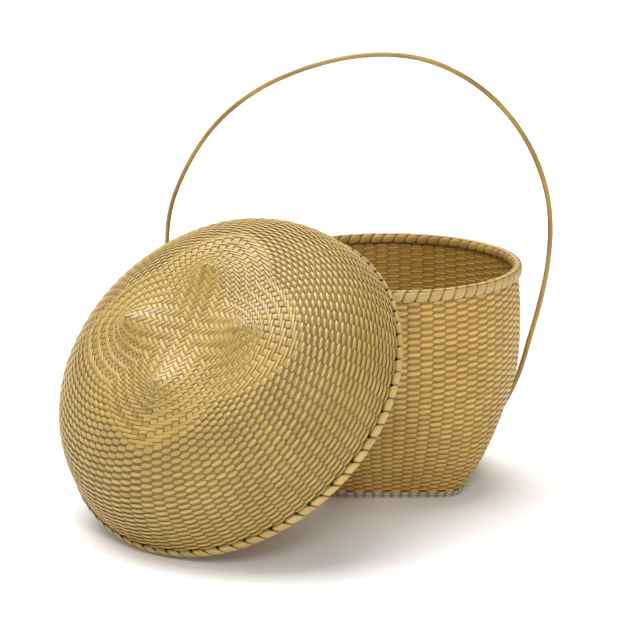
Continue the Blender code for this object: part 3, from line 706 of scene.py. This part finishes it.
# How far the splint's middle lies off the leg: past twice the fit at the front, and at the wall
TIE_CLEARANCE = 0.00035
TIE_BEHIND = 0.0002
for tie_name, node, height, side, radius in TIES:
    low = np.array(leg_point(height - TIE_HALF_HEIGHT, radius, side))
    high = np.array(leg_point(height + TIE_HALF_HEIGHT, radius, side))
    run = (high - low) / np.linalg.norm(high - low)
    outward = np.array([side * run[1], -side * run[0]])
    wound = np.linspace(0.0, TIE_TURNS, TIE_TURNS * TIE_STEPS)
    phi = 2 * math.pi * wound * side
    reach = radius + 2 * FIT + TIE_CLEARANCE
    out = np.where(np.cos(phi) > 0, reach, radius + TIE_BEHIND) * np.cos(phi)
    up = (wound / TIE_TURNS - 0.5) * TIE_SPREAD
    tie_x, tie_z = ((low + high) / 2 + outward * out[:, None] + run * up[:, None]).T
    tie_centre = np.stack([tie_x, HANDLE_SETBACK + reach * np.sin(phi), tie_z], axis=1)[None]
    tie_across = np.broadcast_to(np.array([run[0], 0.0, run[1]]) * TIE_WIDTH, tie_centre.shape)
    tie_points = strand_points(tie_centre, tie_across, TIE_THICKNESS, closed=False)
    tie = strand_piece(tie_name, tie_points, TIE_LIFT, lashing_splint, closed=False, seed=16)
    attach(tie, "basket")
    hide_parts(node)


# The lid's warps are 21 flat strips each way. They cross in a twilled square on the crown, and spread
# from its sides as 84 stakes down the shoulder to the rim.
LID_RADIUS = 0.1857
LID_DEPTH = 0.1070
LID_EDGE_LEVEL = -0.0045
LID_PLACE = np.array([-0.16406, -0.14926, 0.14103])
LID_TILT = math.radians(46.6)
LID_TURN = math.radians(-37.0)
LID_SHEET = 0.0011
LID_WEAVE_END = 0.2420
CROWN_TWIST = math.radians(4.8)
CROWN_SHIFT = np.array([0.0045, 0.0052])
CROWN_HALF = 0.0500
CROWN_STRIPS = 21
LID_STAKES = 4 * CROWN_STRIPS
# Distance from the middle at which the crown's shift is gone, and the length over which it goes
SHIFT_GONE_AT = 0.19
SHIFT_FADE = 0.115
PEAK_REACH = 0.0670
PEAK_RISE = 0.0175
PEAK_SPREAD = 0.0190
PEAK_POWER = 1.25
PEAK_STEEPER_OUTSIDE = 0.28
ROUND_FROM_REACH = 0.0885
CORNER_CROWDING = 0.091
# Radius share of the wall radius, height share of the depth, from the rim up to the crown
DOME = (
    (1.000, 0.060), (0.988, 0.180), (0.960, 0.352), (0.900, 0.544), (0.800, 0.715), (0.700, 0.843),
    (0.600, 0.925), (0.500, 0.966), (0.300, 0.991), (0.150, 0.998), (0.000, 1.000),
)
DOME_STEPS = 400
# Reach from the middle, and the pitch of the rounds of weaver there
ROUND_PITCH = (
    (0.050, 0.0029), (0.100, 0.0029), (0.125, 0.00337), (0.140, 0.0033),
    (0.160, 0.00315), (0.180, 0.0029), (0.200, 0.0028), (0.250, 0.0028),
)
PITCH_STEPS = 2000
# The twill goes over two strips and under two. It ends this many rounds out at the middle of an even
# side and of an odd one, and one round farther out for each stake toward a corner.
TWILL_REPEAT = 4
TWILL_ROUNDS = (17, 16)
# A length too small to see, which keeps a division from one by zero
TINY = 1e-9
dome_line = curve_through([(r * LID_RADIUS, z * LID_DEPTH) for r, z in DOME], DOME_STEPS)[::-1]
dome_line = np.vstack([dome_line, [LID_RADIUS, LID_EDGE_LEVEL]])
dome_arc = np.concatenate([[0.0], np.cumsum(np.linalg.norm(np.diff(dome_line, axis=0), axis=1))])
dome_slope = unit(np.gradient(dome_line, dome_arc, axis=0))


def lid_turned(points):
    """Points of the level lid, tilted about X, turned about Z and moved to where it was set down."""
    cos_turn, sin_turn = math.cos(LID_TURN), math.sin(LID_TURN)
    cos_tilt, sin_tilt = math.cos(LID_TILT), math.sin(LID_TILT)
    turn = np.array([[cos_turn, -sin_turn, 0], [sin_turn, cos_turn, 0], [0, 0, 1]])
    tilt = np.array([[1, 0, 0], [0, cos_tilt, -sin_tilt], [0, sin_tilt, cos_tilt]])
    return points @ (turn @ tilt).T + LID_PLACE


def lid_place(flat, outward=0.0):
    """A point of the lid's middle sheet for a point of its flattened cloth.

    The cloth's middle was begun a little off the dome's, a shift that fades out by a smooth step,
    3s^2 - 2s^3, on the way to the rim. The flat point's distance from the centre is the arc down the
    dome's profile, and its direction is kept. Four peaks of height h * exp(-(gap / spread)^1.25) are
    added where the crown's corners are, with a spread that falls as 1 - k cos(a) toward the rim.
    """
    reach = np.linalg.norm(flat, axis=-1, keepdims=True)
    s = np.clip((SHIFT_GONE_AT - reach) / SHIFT_FADE, 0.0, 1.0)
    flat = flat + CROWN_SHIFT * (3 * s**2 - 2 * s**3)
    arc = np.linalg.norm(flat, axis=-1)
    heading = flat / np.maximum(arc, TINY)[..., None]
    radius = np.interp(arc, dome_arc, dome_line[:, 0])
    level = np.interp(arc, dome_arc, dome_line[:, 1])
    slope_r = np.interp(arc, dome_arc, dome_slope[:, 0])
    slope_z = np.interp(arc, dome_arc, dome_slope[:, 1])
    offset = np.asarray(outward) - LID_SHEET
    x = (radius - slope_z * offset) * heading[..., 0]
    y = (radius - slope_z * offset) * heading[..., 1]
    z = level + slope_r * offset
    for corner in range(4):
        angle = CROWN_TWIST + corner * math.pi / 2
        outer = np.array([math.cos(angle), math.sin(angle)])
        peak = CROWN_SHIFT + PEAK_REACH * outer
        gap = np.hypot(x - peak[0], y - peak[1])
        toward_rim = ((x - peak[0]) * outer[0] + (y - peak[1]) * outer[1]) / np.maximum(gap, TINY)
        spread = PEAK_SPREAD * (1 - PEAK_STEEPER_OUTSIDE * toward_rim)
        z = z + PEAK_RISE * np.exp(-((gap / spread) ** PEAK_POWER))
    return np.stack([x, y, z], axis=-1)


def ring_flat(reach, turn):
    """The flattened cloth outside the crown's square. Turn counts stakes round, and reach is the
    distance from the centre at the middle of a side.

    A ring is a square at the crown's edge and a circle from the round reach out. Between them it is a
    blend of the two, (1 - w)(reach t, reach) + w reach (sin a, cos a), with w chosen so that the
    corners' distance grows evenly.
    """
    side = np.floor(turn / CROWN_STRIPS)
    t = 2 * (turn / CROWN_STRIPS - side) - 1
    corner = CROWN_HALF * math.sqrt(2)
    growth = (ROUND_FROM_REACH - corner) / (ROUND_FROM_REACH - CROWN_HALF)
    far = corner + growth * (reach - CROWN_HALF)
    w = np.clip((math.sqrt(2) - far / reach) / (math.sqrt(2) - 1), 0.0, 1.0)
    a = math.pi / 4 * ((1 - CORNER_CROWDING) * t + CORNER_CROWDING * t**3)
    out = (1 - w) * reach + w * reach * np.cos(a)
    along = (1 - w) * reach * t + w * reach * np.sin(a)
    turned = CROWN_TWIST + math.pi / 4 + side * math.pi / 2
    x = out * np.cos(turned) - along * np.sin(turned)
    y = out * np.sin(turned) + along * np.cos(turned)
    return np.stack([x, y], axis=-1)


fine_reach = np.linspace(CROWN_HALF, LID_WEAVE_END, PITCH_STEPS)
rounds_passed = np.cumsum(np.diff(fine_reach) / smooth_value(fine_reach[:-1], ROUND_PITCH))
rounds_passed = np.concatenate([[0.0], rounds_passed])
ring_edges = np.interp(np.arange(int(rounds_passed[-1]) + 1), rounds_passed, fine_reach)
ring_middle = (ring_edges[1:] + ring_edges[:-1]) / 2
ring_number = np.arange(1, len(ring_middle) + 1)[:, None]
stake_number = np.arange(LID_STAKES)
from_middle = np.abs(stake_number % CROWN_STRIPS - CROWN_STRIPS // 2)
from_corner = CROWN_STRIPS // 2 - from_middle
even_side = (stake_number // CROWN_STRIPS) % 2 == 0
twill = (ring_number + from_corner) % TWILL_REPEAT
twill_over = np.where(even_side, (twill == 1) | (twill == 2), (twill == 0) | (twill == 1))
plain_over = (ring_number + stake_number) % 2 == 0
ring_is_plain = ring_number - from_middle > np.where(even_side, *TWILL_ROUNDS)
ring_sign = np.where(np.where(ring_is_plain, plain_over, twill_over), 1.0, -1.0)

lid_splint = splint_material(
    "lid_splint", pale=(0.52, 0.335, 0.060), deep=(0.25, 0.138, 0.012), crevice_shade=(0.03, 0.014, 0.002),
    gloss=0.9,
)
CROWN_STRIP_WIDTH = 0.00462
CROWN_FLATNESS = 1.15
CROWN_SWAY = 0.00045
CROWN_BEND = 0.5
# The two families of warps differ in painted sheen: one is painted deeper than the other, so that the
# twill shows
CROWN_SHEEN_SHADES = (0.80, 0.0)
LID_STRIP_THICKNESS = 0.0007
LID_STAKE_SWAY = 0.00035
LID_STAKE_SUNK = -0.00035
# Reaches from the middle, and the share of its gap that a stake fills there
STAKE_REACHES = (0.050, 0.085, 0.125)
STAKE_SHARES = (0.97, 0.92, 0.995)
# Lift of the stakes in the plain weave, and over and under the weavers in the twill, which sets their
# painted shade
PLAIN_STAKE_LIFT = -0.15
OVER_STAKE_LIFT = 0.5
UNDER_STAKE_LIFT = -1.0
crown_pitch = 2 * CROWN_HALF / CROWN_STRIPS
strip_number = np.arange(CROWN_STRIPS) - CROWN_STRIPS // 2
from_centre = np.abs(strip_number)
crown_over = (from_centre[:, None] - from_centre[None]) % TWILL_REPEAT < TWILL_REPEAT // 2
crown_steps = (np.arange(CROWN_STRIPS * CROSSING_STEPS) + 0.5) / CROSSING_STEPS
crown_run = (crown_steps - CROWN_STRIPS / 2) * crown_pitch


def lid_stakes(turn):
    """Centres, across vectors and lifts of warps from the crown's edge to the rim.

    A warp has one point for each round of weaver, and its width is a share of the gap between the lines
    midway to its neighbours. In the twill it goes out and in by its sway, against the weaver's sign. In
    the plain weave it lies sunk all the way.
    """
    sign = -ring_sign[:, turn.astype(int)].T
    plain = ring_is_plain[:, turn.astype(int)].T
    reach = np.broadcast_to(ring_middle, sign.shape)
    turns = np.broadcast_to(turn[:, None], sign.shape)
    outward = np.where(plain, LID_STAKE_SUNK, LID_STAKE_SWAY * sign)
    centre = lid_place(ring_flat(reach, turns), outward)
    gap = lid_place(ring_flat(reach, turns - 0.5)) - lid_place(ring_flat(reach, turns + 0.5))
    across = gap * np.interp(reach, STAKE_REACHES, STAKE_SHARES)[..., None]
    lift = np.where(sign > 0, OVER_STAKE_LIFT, UNDER_STAKE_LIFT)
    return centre, across, np.where(plain, PLAIN_STAKE_LIFT, lift)


warp_centres, warp_across, warp_lift = [], [], []
for family in (0, 1):
    first_turns = CROWN_STRIPS * family + np.arange(CROWN_STRIPS) + 0.5
    last_turns = CROWN_STRIPS * (family + 3) - np.arange(CROWN_STRIPS) - 0.5
    first_centre, first_across, first_lift = lid_stakes(first_turns)
    last_centre, last_across, last_lift = lid_stakes(last_turns)
    crown_sign = np.where(crown_over if family == 0 else ~crown_over.T, 1.0, -1.0)
    crown_lift = woven_lift(crown_sign[:, ::-1], CROWN_BEND, closed=False)
    heading = CROWN_TWIST + math.pi / 4 + family * math.pi / 2
    out = np.array([math.cos(heading), math.sin(heading)])
    along = np.array([-math.sin(heading), math.cos(heading)])
    flat = strip_number[:, None, None] * crown_pitch * along - crown_run[None, :, None] * out
    half_strip = along * CROWN_STRIP_WIDTH / 2
    crown_centre = lid_place(flat, CROWN_SWAY * crown_lift)
    crown_across = lid_place(flat - half_strip) - lid_place(flat + half_strip)
    warp_centres.append(np.concatenate([first_centre[:, ::-1], crown_centre, last_centre], axis=1))
    warp_across.append(np.concatenate([first_across[:, ::-1], crown_across, -last_across], axis=1))
    warp_lift.append(np.concatenate([first_lift[:, ::-1], crown_lift, last_lift], axis=1))
warp_points = strand_points(
    np.concatenate(warp_centres), np.concatenate(warp_across), LID_STRIP_THICKNESS,
    closed=False, flatness=CROWN_FLATNESS,
)
warp_faces = faced(np.concatenate(warp_lift))
warp_sheen_shades = np.repeat(CROWN_SHEEN_SHADES, CROWN_STRIPS)[:, None]
lid_warps = strand_piece(
    "lid_warps", lid_turned(warp_points), warp_faces, lid_splint, closed=False, seed=21,
    tone_shift=warp_sheen_shades,
)
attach(lid_warps, "lid")
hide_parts("lid_crown")


# The lid's shoulder and side are filled with about sixty rounds of narrow weaver. Near the crown they
# keep its twill, over two stakes and under two, and farther out they change to plain weave.
LID_WEAVER_THICKNESS = 0.0010
LID_WEAVER_SWAY = 0.00090
LID_WEAVER_SLANT = 0.00040
LID_WEAVER_BEND = 0.72
LID_WEAVER_SHARE = 0.97
PLAIN_SWELL = 0.38
TWILL_SWELL = 0.08
# Rounds in the inner of the two pieces, which holds all of the twill
TWILL_ROWS = 30
ring_turns = (np.arange(LID_STAKES * CROSSING_STEPS) + 0.5) / CROSSING_STEPS
ring_lift = woven_lift(ring_sign, LID_WEAVER_BEND)
ring_reach = ring_middle[:, None] - LID_WEAVER_SLANT * woven_slant(ring_sign)
ring_swell = np.where(np.repeat(ring_is_plain, CROSSING_STEPS, axis=1), PLAIN_SWELL, TWILL_SWELL)
ring_half = np.diff(ring_edges)[:, None] * (1 + ring_swell * ring_lift) / 2


def lid_weavers(name, rows, seed):
    """A piece of closed weavers round the lid. None comes inside the crown's square."""
    reach, half_wide, lift = ring_reach[rows], ring_half[rows], ring_lift[rows]
    turns = np.broadcast_to(ring_turns, reach.shape)
    inner_edge = lid_place(ring_flat(np.maximum(reach - half_wide, CROWN_HALF), turns))
    outer_edge = lid_place(ring_flat(reach + half_wide, turns))
    centre = lid_place(ring_flat(np.maximum(reach, CROWN_HALF), turns), LID_WEAVER_SWAY * lift)
    across = (inner_edge - outer_edge) * LID_WEAVER_SHARE
    points = strand_points(centre, across, LID_WEAVER_THICKNESS, closed=True)
    return strand_piece(name, lid_turned(points), faced(lift), lid_splint, closed=True, seed=seed)


twill_weavers = lid_weavers("lid_twill_weavers", slice(0, TWILL_ROWS), seed=22)
plain_weavers = lid_weavers("lid_plain_weavers", slice(TWILL_ROWS, None), seed=52)
for weavers in (twill_weavers, plain_weavers):
    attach(weavers, "lid")
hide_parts("lid_side")


# The lid's rim is wound like the basket's: one flat splint, 80 turns, round two thin hoops that clamp
# the ends of the stakes. Each turn passes through the weave just inside the hoops.
LID_WRAPS = 80
LID_RIM_OUTER = 0.1889
LID_RIM_INNER = 0.1806
LID_LASHING_END = 0.0055
LID_LASHING_LOW = -0.0060
LID_LASHING_INNER_LOW = -0.0053
LID_LASHING_THICKNESS = 0.0008
lid_rim_points, lid_rim_lift = wound_rim(
    LID_WRAPS, LID_RIM_OUTER, LID_RIM_INNER, LID_LASHING_END, LID_LASHING_LOW, LID_LASHING_INNER_LOW,
    LID_LASHING_THICKNESS, lean=0.30, pinch=0.30,
)
# The lid's rim is at the bottom of its wall, so the winding is turned over, and its corners are then
# taken in the other order to face outward
lid_rim_points = (lid_rim_points * np.array([1.0, 1.0, -1.0]))[:, :, ::-1]
lid_rim_lift = lid_rim_lift[:, :, ::-1]
lid_rim_tones = wrap_tones(LID_WRAPS, seed=32)
lid_winding = strand_piece(
    "lid_winding", lid_turned(lid_rim_points), lid_rim_lift, lashing_splint, closed=True, seed=24,
    tone_shift=lid_rim_tones,
)
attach(lid_winding, "lid")
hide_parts("lid_rim_lashing")


# The four hoops are thin split-wood rings that clamp the ends of the stakes. They are shut in by the
# windings, and only their edges could show between the wraps, where shade falls, so their dark colour is
# a painted shade; they keep the frame's shapes.
hoop_splint = splint_material(
    "hoop_splint", pale=(0.22, 0.13, 0.045), deep=(0.12, 0.065, 0.018), crevice_shade=(0.05, 0.025, 0.006)
)
for node in ("rim_outer_hoop", "rim_inner_hoop", "lid_outer_hoop", "lid_inner_hoop"):
    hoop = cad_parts[node]
    hoop.data.materials.clear()
    hoop.data.materials.append(hoop_splint)


# The basket stood on a wide white sheet, in soft light from above, a little to the left and behind,
# with a weaker light from the front, in a white room that is brightest high on the left.
SHEET_HALF = 14.0
SHEET_WHITE = (0.93, 0.93, 0.93, 1.0)
SHEET_ROUGHNESS = 0.9
SKY_PLACE = (-0.40, 0.52, 2.10)
SKY_STRENGTH = 3.1
SKY_SPREAD = math.radians(56)
FRONT_PLACE = (0.4, -2.5, 1.9)
FRONT_AIM = (0.0, 0.0, 0.15)
FRONT_POWER = 28.0
FRONT_SIZE = 0.9
ROOM_BRIGHTEST = (-0.45, 0.22, 0.87)


def studio_lamp(name, kind, place, aim, power, **settings):
    """A studio light set at a place and turned to a point."""
    lamp = bpy.data.lights.new(name, kind)
    lamp.energy = power
    for key, value in settings.items():
        setattr(lamp, key, value)
    item = bpy.data.objects.new(name, lamp)
    item.location = place
    away = np.array(place, float) - np.array(aim, float)
    pitch = math.atan2(math.hypot(away[0], away[1]), away[2])
    item.rotation_euler = (pitch, 0.0, math.atan2(away[1], away[0]) + math.pi / 2)
    bpy.context.scene.collection.objects.link(item)


sheet_corners = [(x * SHEET_HALF, y * SHEET_HALF, 0.0) for x, y in ((-1, -1), (1, -1), (1, 1), (-1, 1))]
sheet_mesh = bpy.data.meshes.new("paper_sheet")
sheet_mesh.from_pydata(sheet_corners, [], [(0, 1, 2, 3)])
paper_sheet = bpy.data.objects.new("paper_sheet", sheet_mesh)
bpy.context.scene.collection.objects.link(paper_sheet)
paper = bpy.data.materials.new("paper")
paper.use_nodes = True
paper_finish = {"Base Color": SHEET_WHITE, "Roughness": SHEET_ROUGHNESS}
feed(paper.node_tree.nodes["Principled BSDF"], paper_finish)
sheet_mesh.materials.append(paper)

studio_lamp("sky_panel", "SUN", SKY_PLACE, (0.0, 0.0, 0.0), SKY_STRENGTH, angle=SKY_SPREAD)
studio_lamp(
    "front_panel", "AREA", FRONT_PLACE, FRONT_AIM, FRONT_POWER, shape="SQUARE", size=FRONT_SIZE
)

# The room's strength at a direction grows with its cosine to the brightest one
world = bpy.data.worlds.new("studio")
world.use_nodes = True
room = world.node_tree
direction = add_node(room, "ShaderNodeTexCoord").outputs["Generated"]
both = {0: direction, 1: ROOM_BRIGHTEST}
cosine = add_node(room, "ShaderNodeVectorMath", both, operation="DOT_PRODUCT").outputs["Value"]
growth = {"Value": cosine, "From Min": -0.1, "From Max": 0.95, "To Min": 0.19, "To Max": 0.75}
strength = add_node(room, "ShaderNodeMapRange", growth).outputs["Result"]
feed(room.nodes["Background"], {"Color": (1.0, 1.0, 1.0, 1.0), "Strength": strength})
bpy.context.scene.world = world
